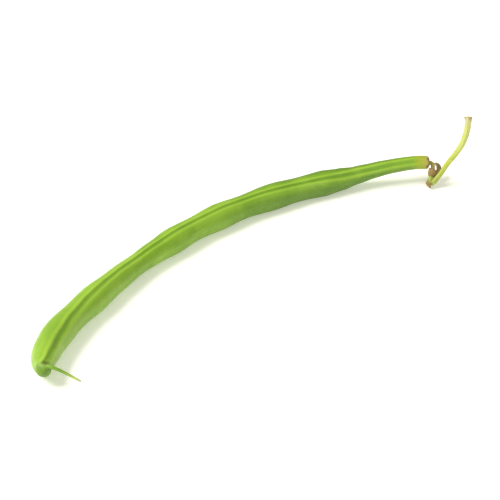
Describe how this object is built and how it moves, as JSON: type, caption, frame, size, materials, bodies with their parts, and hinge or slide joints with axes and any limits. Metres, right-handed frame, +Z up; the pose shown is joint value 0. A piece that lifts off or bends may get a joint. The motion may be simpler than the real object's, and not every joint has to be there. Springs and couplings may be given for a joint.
{
  "type": "green bean",
  "caption": "Slender round bean pod lying on its side in a shallow bend, with a thin curved beak at one end and a dried calyx and flower stalk at the other.",
  "frame": {"origin": "middle of the bounding box at floor level", "axes": "+X along the pod from the beak end to the stem end, -Y towards the hollow side of its bend, +Z up"},
  "size_m": [0.1624, 0.0404, 0.0228],
  "materials": {
    "pod_skin": "satin",
    "calyx_skin": "matte",
    "bracteole_skin": "matte",
    "pedicel_skin": "satin"
  },
  "bodies": {
    "root": {"pod": "pod_skin", "calyx": "calyx_skin", "bracteole_upper": "bracteole_skin", "bracteole_lower": "bracteole_skin", "pedicel": "pedicel_skin"}
  },
  "joints": []
}
